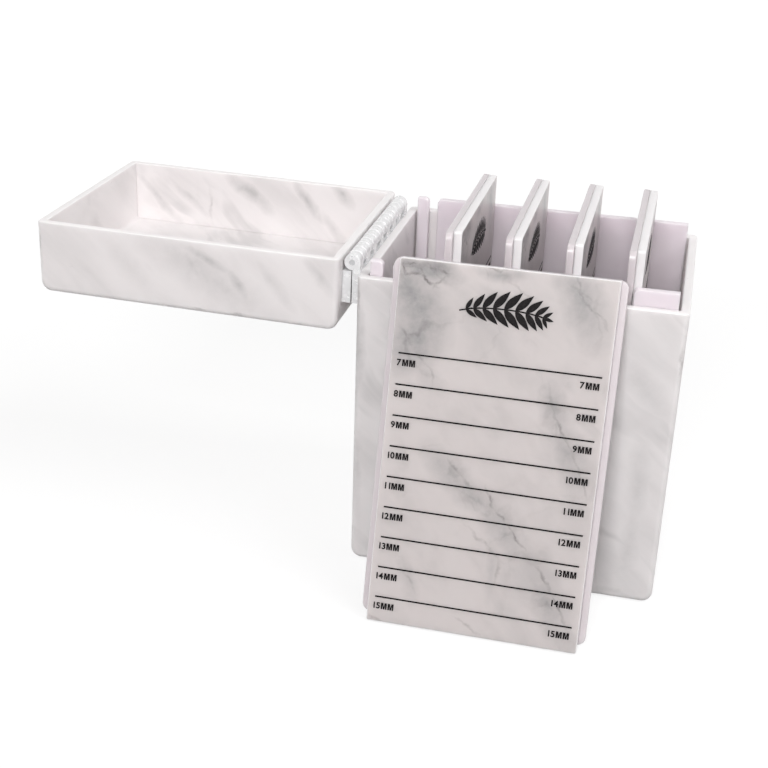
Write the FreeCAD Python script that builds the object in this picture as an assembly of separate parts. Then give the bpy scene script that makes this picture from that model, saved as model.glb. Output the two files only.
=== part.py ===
import FreeCAD, Part
import math
import os
from FreeCAD import Vector

# A hinged case that stores five flat lash tiles on edge, in millimetres.
# X runs along the front to the right, Y to the back, Z up from the table.
# The origin is the centre of the case's base, and the lid is modelled swung open to the left.

# Lash tiles: a printed face plate bonded to a wider backing plate
tile_height = 130.0
face_width = 75.0
face_thickness = 3.0
face_corner_radius = 0.8
backing_thickness = 2.4
backing_corner_radius = 3.0
backing_raise = 2.3
plate_edge_chamfer = 0.25

# Slots for the tiles, counted from the hinge end
slot_count = 5
slot_pitch = 20.9
first_slot_inset = 7.1
last_slot_inset = 17.9

# Case walls
case_wall = 3.2
case_floor = 3.2
tile_stand_over_rim = 18.2
shell_bend_radius = 4.0
shell_edge_radius = 2.0
rim_round = 0.5

# Slot combs, bonded inside the front and back walls
comb_thickness = 3.0
comb_lip_height = 5.6
tooth_round = 1.8
comb_edge_chamfer = 0.3

# Lid
lid_wall = 2.8
lid_top = 3.0
lid_headroom = 6.3
lid_open_angle = 179.0

# Hinge: two clear leaves with turned knuckles on one pin
hinge_end_inset = 6.0
knuckle_count = 15
knuckle_radius = 3.0
knuckle_chamfer = 0.3
leaf_height = 12.0
axis_over_rim = 2.8
pin_radius = 1.0

# The tile that stands out of its slot, leaning back in front of the case
leaning_angle = 15.25
leaning_tile_x = -3.4

# Clearances
face_side_gap = 0.3
backing_side_gap = 0.8
slot_play = 0.6
backing_foot_gap = 0.3
comb_swing_gap = 0.6
lid_seat_gap = 0.2
lid_pass_gap = 0.4
knuckle_wall_gap = 0.35
knuckle_end_gap = 0.25
knuckle_notch_gap = 0.3
leaf_stop_gap = 0.3
pin_running_gap = 0.05
pin_end_inset = 0.4


def inner_bend_radius(wall):
    """Radius inside a shell's bend, which keeps the wall even around it."""
    return max(shell_bend_radius - wall, rim_round)


# Sizes worked out from the ones above
tolerance = 1e-4
slot_width = backing_thickness + 2 * slot_play
case_width = 2 * case_wall + first_slot_inset + (slot_count - 1) * slot_pitch + last_slot_inset
case_depth = face_width + 2 * (face_side_gap + comb_thickness + case_wall)
case_height = case_floor + tile_height - tile_stand_over_rim
inner_half_width = case_width / 2 - case_wall
inner_half_depth = case_depth / 2 - case_wall
backing_width = 2 * (inner_half_depth - backing_side_gap)
lid_rim_z = case_height + lid_seat_gap
lid_height = tile_stand_over_rim - lid_seat_gap + lid_headroom + lid_top
hinge_offset = knuckle_radius + knuckle_wall_gap
hinge_x = -case_width / 2 - hinge_offset
hinge_z = case_height + axis_over_rim
hinge_length = case_depth - 2 * hinge_end_inset
leaf_thickness = hinge_offset - leaf_stop_gap / 2
lid_rim_swing = math.hypot(hinge_offset + lid_wall, axis_over_rim - lid_seat_gap)
lid_swing_reach = lid_rim_swing - hinge_offset - case_wall
comb_end_gap = max(inner_bend_radius(case_wall), lid_swing_reach + comb_swing_gap)
comb_web_height = backing_raise - backing_foot_gap


def slot_x(index):
    """Middle of a slot along X, counted from the hinge end."""
    return -inner_half_width + first_slot_inset + index * slot_pitch


def block(x0, x1, y0, y1, z0, z1):
    """Box between two corners."""
    return Part.makeBox(x1 - x0, y1 - y0, z1 - z0, Vector(x0, y0, z0))


def trough(half_width, half_depth, z_floor, z_rim, bend_radius):
    """Prism along Y whose two edges on the floor side are rounded, with square edges on the rim side."""
    up = 1 if z_rim > z_floor else -1
    lean = bend_radius * (1 - math.sqrt(0.5))
    left_start = Vector(-half_width, -half_depth, z_floor + up * bend_radius)
    left_middle = Vector(-half_width + lean, -half_depth, z_floor + up * lean)
    left_end = Vector(-half_width + bend_radius, -half_depth, z_floor)
    right_start = Vector(half_width - bend_radius, -half_depth, z_floor)
    right_middle = Vector(half_width - lean, -half_depth, z_floor + up * lean)
    right_end = Vector(half_width, -half_depth, z_floor + up * bend_radius)
    rim_right = Vector(half_width, -half_depth, z_rim)
    rim_left = Vector(-half_width, -half_depth, z_rim)
    outline = Part.Wire([
        Part.Arc(left_start, left_middle, left_end).toShape(),
        Part.LineSegment(left_end, right_start).toShape(),
        Part.Arc(right_start, right_middle, right_end).toShape(),
        Part.LineSegment(right_end, rim_right).toShape(),
        Part.LineSegment(rim_right, rim_left).toShape(),
        Part.LineSegment(rim_left, left_start).toShape(),
    ])
    return Part.Face(outline).extrude(Vector(0, 2 * half_depth, 0))


def edges_in_plane(shape, axis, value):
    """Edges whose every point has this coordinate."""
    low, high = axis + "Min", axis + "Max"
    found = []
    for edge in shape.Edges:
        box = edge.BoundBox
        if abs(getattr(box, low) - value) < tolerance and abs(getattr(box, high) - value) < tolerance:
            found.append(edge)
    return found


def shell(z_floor, z_rim, wall, floor):
    """Open shell of the case's footprint, with its floor at z_floor and its rim at z_rim."""
    half_width, half_depth = case_width / 2, case_depth / 2
    up = 1 if z_rim > z_floor else -1
    outer = trough(half_width, half_depth, z_floor, z_rim, shell_bend_radius)
    rounded = []
    for y in (-half_depth, half_depth):
        for edge in edges_in_plane(outer, "Y", y):
            if abs(edge.CenterOfMass.z - z_rim) > tolerance:
                rounded.append(edge)
    outer = outer.makeFillet(shell_edge_radius, rounded)
    over_rim = z_rim + up * wall
    inner = trough(half_width - wall, half_depth - wall, z_floor + up * floor, over_rim,
                   inner_bend_radius(wall))
    open_shell = outer.cut(inner)
    return open_shell.makeFillet(rim_round, edges_in_plane(open_shell, "Z", z_rim))


def slot_comb(side):
    """Slotted plate inside the front wall (side -1) or the back wall (side 1), standing over the rim as a lip."""
    end_x = inner_half_width - comb_end_gap
    y_wall = side * inner_half_depth
    y_inner = y_wall - side * comb_thickness
    y0, y1 = min(y_wall, y_inner), max(y_wall, y_inner)
    top = case_height + comb_lip_height
    comb = block(-end_x, end_x, y0, y1, case_floor, top)
    slot_sides = []
    for index in range(slot_count):
        left, right = slot_x(index) - slot_width / 2, slot_x(index) + slot_width / 2
        comb = comb.cut(block(left, right, y0, y1, case_floor + comb_web_height, top))
        slot_sides += [left, right]
    corners = []
    for edge in edges_in_plane(comb, "Z", top):
        box = edge.BoundBox
        beside_slot = any(abs(box.XMin - x) < tolerance for x in slot_sides)
        if beside_slot and box.XLength < tolerance:
            corners.append(edge)
    comb = comb.makeFillet(tooth_round, corners)
    lip_edges = []
    for edge in edges_in_plane(comb, "Y", y_inner) + edges_in_plane(comb, "Y", y_wall):
        if edge.CenterOfMass.z > top - tooth_round:
            lip_edges.append(edge)
    return comb.makeChamfer(comb_edge_chamfer, lip_edges)


def plate(x0, thickness, width, z0, z1, corner_radius):
    """Upright plate square to X, with rounded corners and eased edges."""
    solid = block(x0, x0 + thickness, -width / 2, width / 2, z0, z1)
    corners = [edge for edge in solid.Edges if edge.BoundBox.XLength > tolerance]
    solid = solid.makeFillet(corner_radius, corners)
    outline = edges_in_plane(solid, "X", x0) + edges_in_plane(solid, "X", x0 + thickness)
    return solid.makeChamfer(plate_edge_chamfer, outline)


def tile_plates():
    """Backing and face of one tile, upright, facing +X, with the joint between them at X 0 and its foot at Z 0."""
    backing = plate(-backing_thickness, backing_thickness, backing_width,
                    backing_raise, tile_height, backing_corner_radius)
    face = plate(0, face_thickness, face_width, 0, tile_height, face_corner_radius)
    return backing, face


def stored_tile(index):
    """Tile standing in its slot, backing plate centred in the slot."""
    place = Vector(slot_x(index) + backing_thickness / 2, 0, case_floor)
    return [solid.translated(place) for solid in tile_plates()]


def leaning_tile():
    """Tile out of its slot, foot on the table, leaning back just clear of the shut lid's front."""
    angle = math.radians(leaning_angle)
    top_back_y = backing_thickness * math.cos(angle) + tile_height * math.sin(angle)
    face_foot = plate_edge_chamfer * math.sin(angle)
    backing_foot = backing_raise * math.cos(angle) - (backing_thickness - plate_edge_chamfer) * math.sin(angle)
    place = Vector(leaning_tile_x, -case_depth / 2 - lid_pass_gap - top_back_y, -min(face_foot, backing_foot))
    solids = []
    for solid in tile_plates():
        solid = solid.rotated(Vector(0, 0, 0), Vector(0, 0, 1), -90)
        solid = solid.rotated(Vector(0, 0, 0), Vector(1, 0, 0), -leaning_angle)
        solids.append(solid.translated(place))
    return solids


def knuckle(y0, y1):
    """One turned knuckle on the hinge axis, with eased ends."""
    barrel = Part.makeCylinder(knuckle_radius, y1 - y0, Vector(hinge_x, y0, hinge_z), Vector(0, 1, 0))
    rims = [edge for y in (y0, y1) for edge in edges_in_plane(barrel, "Y", y)]
    return barrel.makeChamfer(knuckle_chamfer, rims)


def hinge_leaf(side, first):
    """Leaf with the lid shut: below the axis on the case (side -1), above it on the lid (side 1)."""
    outer_x = -case_width / 2 - leaf_thickness
    notch = knuckle_radius + knuckle_notch_gap
    z_notch = hinge_z + side * notch
    z_end = z_notch + side * leaf_height
    half_length = hinge_length / 2
    leaf = block(outer_x, -case_width / 2, -half_length, half_length, min(z_notch, z_end), max(z_notch, z_end))
    pitch = hinge_length / knuckle_count
    for index in range(first, knuckle_count, 2):
        y0 = -half_length + index * pitch + knuckle_end_gap / 2
        y1 = y0 + pitch - knuckle_end_gap
        neck = block(outer_x, hinge_x + knuckle_radius, y0, y1, min(hinge_z, z_notch), max(hinge_z, z_notch))
        leaf = leaf.fuse([neck, knuckle(y0, y1)])
    bore = Part.makeCylinder(pin_radius + pin_running_gap, hinge_length,
                             Vector(hinge_x, -half_length, hinge_z), Vector(0, 1, 0))
    return leaf.cut(bore).removeSplitter()


def hinge_pin():
    """Rod through all the knuckles."""
    length = hinge_length - 2 * pin_end_inset
    return Part.makeCylinder(pin_radius, length, Vector(hinge_x, -length / 2, hinge_z), Vector(0, 1, 0))


def swung_open(solid):
    """Turns a piece of the shut lid about the hinge pin to where the open lid stops."""
    return solid.rotated(Vector(hinge_x, 0, hinge_z), Vector(0, 1, 0), -lid_open_angle)


def build():
    """All the pieces by name."""
    pieces = {
        "case_shell": shell(0, case_height, case_wall, case_floor),
        "front_slot_comb": slot_comb(-1),
        "rear_slot_comb": slot_comb(1),
        "lid_shell": swung_open(shell(lid_rim_z + lid_height, lid_rim_z, lid_wall, lid_top)),
        "case_hinge_leaf": hinge_leaf(-1, 0),
        "lid_hinge_leaf": swung_open(hinge_leaf(1, 1)),
        "hinge_pin": hinge_pin(),
    }
    for index in range(slot_count):
        backing, face = leaning_tile() if index == 0 else stored_tile(index)
        pieces[f"tile_{index + 1}_backing"] = backing
        pieces[f"tile_{index + 1}_face"] = face
    return pieces


os.makedirs("parts", exist_ok=True)
for name, solid in build().items():
    box = solid.BoundBox
    print(f"{name}: valid {solid.isValid()}, solids {len(solid.Solids)}, volume {solid.Volume:.1f},",
          f"X {box.XMin:.2f} to {box.XMax:.2f}, Y {box.YMin:.2f} to {box.YMax:.2f},",
          f"Z {box.ZMin:.2f} to {box.ZMax:.2f}")
    solid.exportStep(f"parts/{name}.step")
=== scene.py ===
import math

import bmesh
import bpy
from bpy.props import FloatProperty, FloatVectorProperty, IntProperty, PointerProperty
from mathutils import Matrix, Vector


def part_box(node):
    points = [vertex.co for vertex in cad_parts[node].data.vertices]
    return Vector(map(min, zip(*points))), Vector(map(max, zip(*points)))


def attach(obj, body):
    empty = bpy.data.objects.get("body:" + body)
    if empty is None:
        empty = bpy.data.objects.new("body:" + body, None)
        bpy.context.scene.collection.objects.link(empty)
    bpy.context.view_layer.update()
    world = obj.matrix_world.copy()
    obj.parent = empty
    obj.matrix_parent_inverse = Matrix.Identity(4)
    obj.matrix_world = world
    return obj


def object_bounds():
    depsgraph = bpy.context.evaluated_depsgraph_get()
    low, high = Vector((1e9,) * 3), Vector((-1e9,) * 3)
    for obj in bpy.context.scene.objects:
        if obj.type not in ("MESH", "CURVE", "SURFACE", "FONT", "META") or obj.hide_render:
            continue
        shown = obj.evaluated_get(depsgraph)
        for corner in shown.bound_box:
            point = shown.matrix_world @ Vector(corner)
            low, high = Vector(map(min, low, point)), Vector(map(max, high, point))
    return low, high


bl_info = {
    "name": "Lash Tile Case",
    "version": (1, 0, 0),
    "blender": (4, 5, 0),
    "location": "View3D > Sidebar > Lash Case",
    "description": "Dresses a hinged lash case in printed marble, rules its tiles and sets up a white studio",
    "category": "Object",
}

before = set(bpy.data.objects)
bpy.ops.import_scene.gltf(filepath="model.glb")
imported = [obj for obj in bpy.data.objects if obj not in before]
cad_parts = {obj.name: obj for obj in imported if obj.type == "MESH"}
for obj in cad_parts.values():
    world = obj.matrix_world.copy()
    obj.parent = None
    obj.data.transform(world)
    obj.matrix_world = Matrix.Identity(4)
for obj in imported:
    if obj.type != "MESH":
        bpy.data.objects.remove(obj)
CAD_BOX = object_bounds()

MM = 0.001
PHOTO_PIXELS = 768
SENSOR_WIDTH = 36.0
TILES = (1, 2, 3, 4, 5)

# Sockets of the colour Mix node, which carry the same names for every kind of value
MIX_A, MIX_B, MIX_RESULT = 6, 7, 2

# Millimetres from one swell to the next in the noises that make up the marble prints
CLOUD_STRAY = 20.0
VEIN_STRAY = 5.5
DRIFT_STRAY = 34.0
STREAK_PATCHES = 34.0
COAT_RIPPLE = 9.0
# A print's dots are about a tenth of a millimetre, too fine to show, so the grain is drawn this coarse
PRINT_GRAIN = 4.5
# Turn of the layers that clouds and streaks lie in, which slants them on each wall and round its corners
LAYER_TURN = (0.0, math.radians(-40), math.radians(40))
# How far light goes into milky acrylic
SCATTER_DEPTH = 4 * MM

# Strokes of the marble prints, listed one by one: points across and up the wall in millimetres, width and
# tone
TILE_CLOUDS = (
    (((-36.0, 123.0), (-27.0, 110.0), (-32.0, 99.0)), 26.0, 1.0),
    (((-37.0, 129.0), (-20.0, 126.0)), 11.0, 1.1),
    (((-30.0, 98.0), (-21.0, 88.0)), 12.0, 0.4),
    (((-8.0, 130.0), (4.0, 128.0)), 7.0, 0.7),
    (((21.0, 131.0), (30.0, 114.0)), 19.0, 0.85),
    (((16.5, 91.0), (23.0, 80.0), (31.0, 58.0)), 14.0, 0.6),
    (((-18.0, 62.0), (-8.0, 52.0), (1.0, 49.0), (14.0, 32.0)), 15.0, 0.6),
    (((19.0, 27.0), (31.0, 8.0)), 14.0, 0.6),
    (((4.0, 36.0), (6.0, 17.0)), 8.0, 0.4),
    (((-26.0, 24.0), (-23.0, 12.0)), 8.0, 0.4),
)
TILE_VEINS = (
    (((-37.0, 128.6), (-35.0, 124.6), (-30.3, 125.3), (-24.3, 121.6), (-21.8, 124.4)), 1.5, 0.85),
    (((-36.0, 127.6), (-31.6, 128.6), (-29.4, 125.6)), 1.3, 0.7),
    (((-28.6, 128.6), (-24.0, 127.0), (-19.3, 126.6)), 1.6, 0.6),
    (((-35.0, 106.3), (-30.7, 100.3)), 1.8, 0.4),
    (((-30.0, 99.5), (-23.4, 93.7), (-22.1, 88.0)), 1.4, 0.3),
    (((-7.6, 129.7), (-2.9, 128.4), (2.2, 130.7)), 1.6, 0.55),
    (((0.0, 126.0), (8.7, 121.5)), 1.2, 0.4),
    (((23.0, 129.5), (25.7, 121.7), (32.5, 117.1), (34.6, 113.6)), 1.5, 0.45),
    (((21.6, 126.6), (28.3, 122.9)), 1.4, 0.35),
    (((18.0, 91.6), (21.9, 77.2)), 1.6, 0.3),
    (((20.0, 83.0), (28.1, 70.6), (31.7, 63.7), (34.6, 55.5)), 1.5, 0.5),
    (((-13.6, 61.9), (-8.2, 56.0), (-5.2, 53.5)), 1.7, 0.45),
    (((0.4, 54.4), (4.0, 47.2), (10.3, 40.5), (15.6, 34.6)), 1.5, 0.6),
    (((-4.6, 39.2), (7.8, 29.5), (6.9, 20.6)), 1.7, 0.35),
    (((19.9, 29.5), (25.4, 22.6), (32.4, 10.2)), 1.5, 0.55),
    (((-26.7, 21.0), (-21.2, 14.0)), 1.8, 0.25),
    (((-4.9, 5.8), (3.2, 1.2)), 1.6, 0.35),
    (((-37.7, 2.2), (-33.0, 0.6)), 1.6, 0.5),
)

# The shells' strokes run along X and up Z, at the front or the back wall
FRONT_WALL, BACK_WALL = -44.0, 41.2
LID_FRONT_CLOUDS = (
    (((-122.0, 119.0), (-105.0, 110.8), (-98.6, 103.4)), 6.0, 0.75),
    (((-123.0, 118.0), (-115.0, 106.0)), 7.0, 0.6),
    (((-135.0, 121.0), (-95.0, 100.0)), 22.0, 0.45),
    (((-94.0, 116.0), (-82.0, 102.0)), 7.0, 0.4),
    (((-75.0, 118.5), (-66.5, 108.0)), 7.0, 0.5),
    (((-152.0, 118.0), (-136.0, 101.0)), 12.0, 0.25),
)
LID_BACK_CLOUDS = (
    (((-174.3, 116.6), (-158.5, 99.0)), 6.0, 0.55),
    (((-161.3, 114.7), (-144.2, 102.7)), 6.0, 0.55),
    (((-133.0, 118.5), (-118.0, 108.5)), 8.0, 0.8),
    (((-105.5, 120.4), (-96.0, 107.0)), 6.0, 0.7),
    (((-88.0, 121.4), (-83.0, 115.0)), 7.0, 0.7),
    (((-93.0, 107.0), (-86.0, 96.0)), 7.0, 0.5),
)
LID_FRONT_VEINS = (
    (((-178.8, 117.0), (-178.9, 109.0)), 2.2, 0.6),
    (((-148.5, 94.6), (-145.0, 94.6)), 2.0, 0.45),
    (((-118.5, 95.4), (-114.5, 95.2)), 2.0, 0.45),
    (((-103.5, 95.0), (-99.5, 94.8)), 2.0, 0.35),
    (((-80.0, 93.6), (-76.5, 93.6)), 2.0, 0.5),
)
LID_BACK_VEINS = (
    (((-143.5, 113.0), (-143.0, 101.0)), 2.2, 0.3),
)
CASE_FRONT_CLOUDS_AND_EDGE_SHADE = (
    (((48.0, 64.0), (47.2, 36.0), (46.0, 8.0)), 11.0, 0.42),
    (((40.0, 95.0), (54.0, 76.0)), 12.0, 0.4),
    # These two strokes down the left edge are partly the print's clouding and partly painted shade, grey at
    # the edge and lighter to the right
    (((-57.4, 114.0), (-57.0, 62.0)), 8.0, 0.7),
    (((-57.2, 58.0), (-55.6, 20.0)), 7.0, 0.5),
    (((36.0, 4.0), (55.0, 0.6)), 5.0, 0.5),
)
CASE_FRONT_VEINS = (
    (((56.4, 101.0), (56.9, 93.5)), 2.2, 0.6),
    (((-57.2, 112.0), (-57.0, 104.0)), 2.4, 0.4),
)


def linear(hex_code):
    """Linear RGBA of an sRGB hex value."""
    channels = [int(hex_code[at:at + 2], 16) / 255 for at in (0, 2, 4)]
    return [c / 12.92 if c <= 0.04045 else ((c + 0.055) / 1.055) ** 2.4 for c in channels] + [1.0]


WHITE = linear("FFFFFF")


def colour(name, hex_code):
    """Colour property that opens at an sRGB hex value."""
    return FloatVectorProperty(name=name, description=f"{name} of the finish", subtype="COLOR", size=4,
                               min=0.0, max=1.0, default=linear(hex_code))


def length(name, description, millimetres):
    """Length property that opens at a size in millimetres."""
    return FloatProperty(name=name, description=description, subtype="DISTANCE", unit="LENGTH",
                         min=0.0, default=millimetres * MM)


def angle(name, description, degrees):
    """Angle property that opens at a value in degrees."""
    return FloatProperty(name=name, description=description, subtype="ANGLE", default=math.radians(degrees))


def strength(name, description, default):
    """Strength property, from 0 for nothing to 1 for full."""
    return FloatProperty(name=name, description=description, subtype="FACTOR",
                         min=0.0, max=1.0, default=default)


def watts(name, description, default):
    """Power property of a lamp."""
    return FloatProperty(name=name, description=description, unit="POWER", min=0.0, default=default)


def position(name, description, default):
    """Property for a place or a shift in metres."""
    return FloatVectorProperty(name=name, description=description, subtype="TRANSLATION", unit="LENGTH",
                               default=default)


class RuledPrint(bpy.types.PropertyGroup):
    """Sizes of the ruled lines, numbers and ornament printed on a tile."""
    line_count: IntProperty(name="Lines", description="Ruled lines on a tile", default=9, min=2)
    first_number: IntProperty(name="First number", description="Lash length at the top line", default=7)
    line_length: length("Line length", "From end to end of a ruled line", 70.0)
    line_width: length("Line width", "Thickness of a ruled line's stroke", 0.55)
    line_pitch: length("Line pitch", "From one ruled line to the next", 11.0)
    first_line: length("Top line height", "Height of the top line over the tile's foot", 97.2)
    label_height: length("Number height", "Height of the printed numbers", 2.35)
    label_drop: length("Number drop", "Middle of a number below its line", 3.3)
    label_outset: length("Number outset", "How far the left numbers start before the line does", 0.3)
    label_inset: length("Number inset", "How far the right numbers end before the line does", 0.6)
    label_gap: length("Number gap", "Gap between the characters of a number", 0.36)
    digit_bold: FloatProperty(name="Digit weight", description="Thickening of the digits' outlines",
                              default=0.028)
    letter_width: length("Letter width", "Width of the letter behind the digits", 2.1)
    letter_stroke: length("Letter stroke", "Thickness of the letter's upright strokes", 0.54)
    ink_thickness: length("Ink thickness", "Height of the ink film over the tile", 0.04)
    leaf_pairs: IntProperty(name="Leaf pairs", description="Pairs of leaves on the sprig", default=9, min=3)
    leaf_length: length("Leaf length", "Length of the sprig's longest leaf", 8.6)
    leaf_width: length("Leaf width", "Widest part of that leaf", 2.7)
    leaf_lean: angle("Leaf lean", "Angle between a leaf and the stem", 47)
    leaf_swell: FloatProperty(name="Leaf swell", description="Below 1, a leaf is widest nearer to its foot",
                              default=0.8, min=0.1)
    root_age: angle("Root age", "Arc whose sine is the first leaves' share of the full length", 34)
    tip_age: angle("Tip age", "Arc whose sine is the last leaves' share of the full length", 152)
    stem_width: length("Stem width", "Thickness of the sprig's stem", 0.5)
    stem_start: angle("Stem start", "Where on its oval the stem starts", 146)
    stem_end: angle("Stem end", "Where on its oval the stem ends", 36)
    stem_run: FloatProperty(name="Stem run", description="All the stem's joints in a row, over the reach",
                            default=2.6, min=0.0)
    sprig_reach: length("Sprig reach", "Half width of the oval that the stem follows", 16.0)
    sprig_rise: length("Sprig rise", "Half height of the oval that the stem follows", 3.0)
    sprig_middle: length("Sprig middle", "Height of that oval's middle over the tile's foot", 113.2)


class ShellMarble(bpy.types.PropertyGroup):
    """Marble print of the case and the lid: milky, with soft drifting clouds."""
    ground: colour("Ground", "E8E4E4")
    edge: colour("Cut edge", "ECE8E8")
    cloud: colour("Cloud", "B7B5B5")
    vein: colour("Vein", "807C7B")
    cloud_length: length("Cloud length", "Length of a drifting cloud", 90.0)
    cloud_width: length("Cloud width", "Width of a drifting cloud", 15.0)
    cloud_depth: strength("Cloud depth", "Strength of the clouds", 0.3)
    cloud_wander: length("Cloud wander", "How far a cloud strays from its line", 8.0)
    streak_depth: strength("Streak depth", "Strength of the soft streaks", 0.42)
    vein_spacing: length("Vein spacing", "From one thin vein to the next", 46.0)
    vein_depth: strength("Vein depth", "Strength of the thin veins", 0.08)
    vein_wander: length("Vein wander", "How far a vein strays from its line", 4.0)
    print_shift: position("Print shift", "Where the print was laid on the piece", (0.37, -0.12, 0.2))


class TileMarble(bpy.types.PropertyGroup):
    """Marble print of the tile faces: greyer, with crisp broken veins."""
    ground: colour("Ground", "D0C9C8")
    edge: colour("Cut edge", "F0ECED")
    cloud: colour("Cloud", "989697")
    vein: colour("Vein", "5A5453")
    cloud_length: length("Cloud length", "Length of a drifting cloud", 48.0)
    cloud_width: length("Cloud width", "Width of a drifting cloud", 20.0)
    cloud_depth: strength("Cloud depth", "Strength of the clouds", 0.35)
    cloud_wander: length("Cloud wander", "How far a cloud strays from its line", 11.0)
    streak_depth: strength("Streak depth", "Strength of the soft streaks", 0.2)
    vein_spacing: length("Vein spacing", "From one thin vein to the next", 26.0)
    vein_depth: strength("Vein depth", "Strength of the thin veins", 0.3)
    vein_wander: length("Vein wander", "How far a vein strays from its line", 4.4)
    print_shift: position("Print shift", "Where the print was laid on the piece", (0.0, 0.0, 0.0))


class PlainFinishes(bpy.types.PropertyGroup):
    """Colours of the pieces that carry no print."""
    opal: colour("Opal comb", "E8DFE5")
    backing: colour("Opal backing", "D4CCCF")
    clear: colour("Clear acrylic", "FDFDFE")
    steel: colour("Pin steel", "C6C6C8")
    ink: colour("Ink", "0E0B0C")
    thin_ink: colour("Thin ink", "221E1F")


class Studio(bpy.types.PropertyGroup):
    """Camera, lamps and floor."""
    camera_place: position("Camera place", "Where the camera stands", (0.05086, -0.47285, 0.27844))
    camera_yaw: angle("Yaw", "Turn of the camera to the left", 12.773)
    camera_pitch: angle("Pitch", "Tilt of the camera upwards", -24.813)
    camera_roll: angle("Roll", "Turn of the camera about its own axis", 1.992)
    focal_pixels: FloatProperty(name="Focal length", description="Focal length in the photograph's pixels",
                                default=1340.0)
    floor_radius: length("Floor radius", "Radius of the floor", 6000.0)
    floor_drop: length("Floor drop", "How far the floor lies under the case's base", 0.05)
    paper: colour("Lighting paper", "969595")
    seen_paper: colour("Seen paper", "8C8C8C")
    near_glow: strength("Near glow", "White that is added to the floor as it is seen near the case", 0.76)
    far_glow: strength("Far glow", "White that is added to the floor as it is seen far away", 0.95)
    glow_start: length("Glow start", "Distance at which the far glow begins to take over", 300.0)
    glow_end: length("Glow end", "Distance at which the far glow is full", 1200.0)
    sky: colour("Sky", "FFFCFB")
    sky_strength: strength("Sky strength", "Light that comes from all round", 0.18)
    key_power: watts("Key lamp", "Power of the lamp high in front of the case", 9.3)
    side_power: watts("Side lamp", "Power of the lamp high at the right", 7.7)
    back_power: watts("Back lamp", "Power of the lamp behind the case", 5.6)
    left_power: watts("Left lamp", "Power of the lamp at the lid's end", 5.8)


class LashCase(bpy.types.PropertyGroup):
    """All that can be set on the lash case."""
    ruled: PointerProperty(type=RuledPrint)
    shell: PointerProperty(type=ShellMarble)
    tile: PointerProperty(type=TileMarble)
    plain: PointerProperty(type=PlainFinishes)
    studio: PointerProperty(type=Studio)


def add_node(tree, kind, inputs=None, **settings):
    """Adds a node with its settings, and sets or links its inputs by name or number."""
    node = tree.nodes.new(kind)
    for name, value in settings.items():
        setattr(node, name, value)
    for key, value in (inputs or {}).items():
        if isinstance(value, bpy.types.NodeSocket):
            tree.links.new(value, node.inputs[key])
        else:
            node.inputs[key].default_value = value
    return node


def new_finish(name, **values):
    """Material with one surface shader, its constant values set on the shader's own sockets."""
    material = bpy.data.materials.new(name)
    material.use_nodes = True
    tree = material.node_tree
    tree.nodes.clear()
    surface = add_node(tree, "ShaderNodeBsdfPrincipled")
    for key, value in values.items():
        surface.inputs[key.replace("_", " ").title().replace("Ior", "IOR")].default_value = value
    add_node(tree, "ShaderNodeOutputMaterial", {"Surface": surface.outputs["BSDF"]})
    return material, tree, surface


def dress(node_name, material):
    """Gives a CAD node its finish."""
    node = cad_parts[node_name]
    if not node.material_slots:
        node.data.materials.append(material)
    for slot in node.material_slots:
        slot.material = material


def dimmed(shade, share):
    """Colour brought down to a share of its light."""
    return [channel * share for channel in shade[:3]] + [1.0]


def joined_strokes(tree, point, walls):
    """Depth of tone of listed strokes, from a point in millimetres.

    walls lists (strokes, place front to back, reach from that place)."""
    overlap = 1.35  # Runs of one stroke reach past their ends, so that no gap shows between them
    tone = 0.0
    for strokes, depth_place, reach in walls:
        for points, width, depth in strokes:
            for (x0, z0), (x1, z1) in zip(points, points[1:]):
                run = math.hypot(x1 - x0, z1 - z0)
                stroke = add_node(tree, "ShaderNodeMapping", {
                    "Vector": point,
                    "Location": ((x0 + x1) / 2, depth_place, (z0 + z1) / 2),
                    "Rotation": (0, -math.atan2(z1 - z0, x1 - x0), 0),
                    "Scale": (overlap * run / 2 + width / 2, reach, width / 2),
                }, vector_type="TEXTURE")
                soft = add_node(tree, "ShaderNodeTexGradient", {"Vector": stroke.outputs["Vector"]},
                                gradient_type="SPHERICAL")
                shade = add_node(tree, "ShaderNodeMath", {0: soft.outputs["Fac"], 1: depth},
                                 operation="MULTIPLY")
                tone = add_node(tree, "ShaderNodeMath", {0: tone, 1: shade.outputs["Value"]},
                                operation="MAXIMUM").outputs["Value"]
    return tone


def stroke_group(name, clouds, veins):
    """Shader group that draws the strokes which a print shows plainly: wide soft clouds and thin veins, where
    the case front's clouds also hold painted shade.
    """
    tree = bpy.data.node_groups.new(name, "ShaderNodeTree")
    for label in ("Cloud", "Vein"):
        tree.interface.new_socket(f"{label} Point", in_out="INPUT", socket_type="NodeSocketVector")
        tree.interface.new_socket(label, in_out="OUTPUT", socket_type="NodeSocketFloat")
    given = add_node(tree, "NodeGroupInput").outputs
    add_node(tree, "NodeGroupOutput", {
        "Cloud": joined_strokes(tree, given["Cloud Point"], clouds),
        "Vein": joined_strokes(tree, given["Vein Point"], veins),
    })
    return tree


def strayed(tree, point, scale, detail, distance):
    """Point moved off its place by a noise, so that a straight stroke wanders across and up the wall."""
    stray = add_node(tree, "ShaderNodeTexNoise", {
        "Vector": point, "Scale": 1 / scale, "Detail": detail, "Roughness": 0.6})
    centred = add_node(tree, "ShaderNodeVectorMath", {0: stray.outputs["Color"], 1: (0.5, 0.5, 0.5)},
                       operation="SUBTRACT")
    reach = distance / MM
    moved = add_node(tree, "ShaderNodeVectorMath", {
        0: centred.outputs["Vector"], 1: (reach, 0.0, reach), 2: point}, operation="MULTIPLY_ADD")
    return moved.outputs["Vector"]


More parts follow.
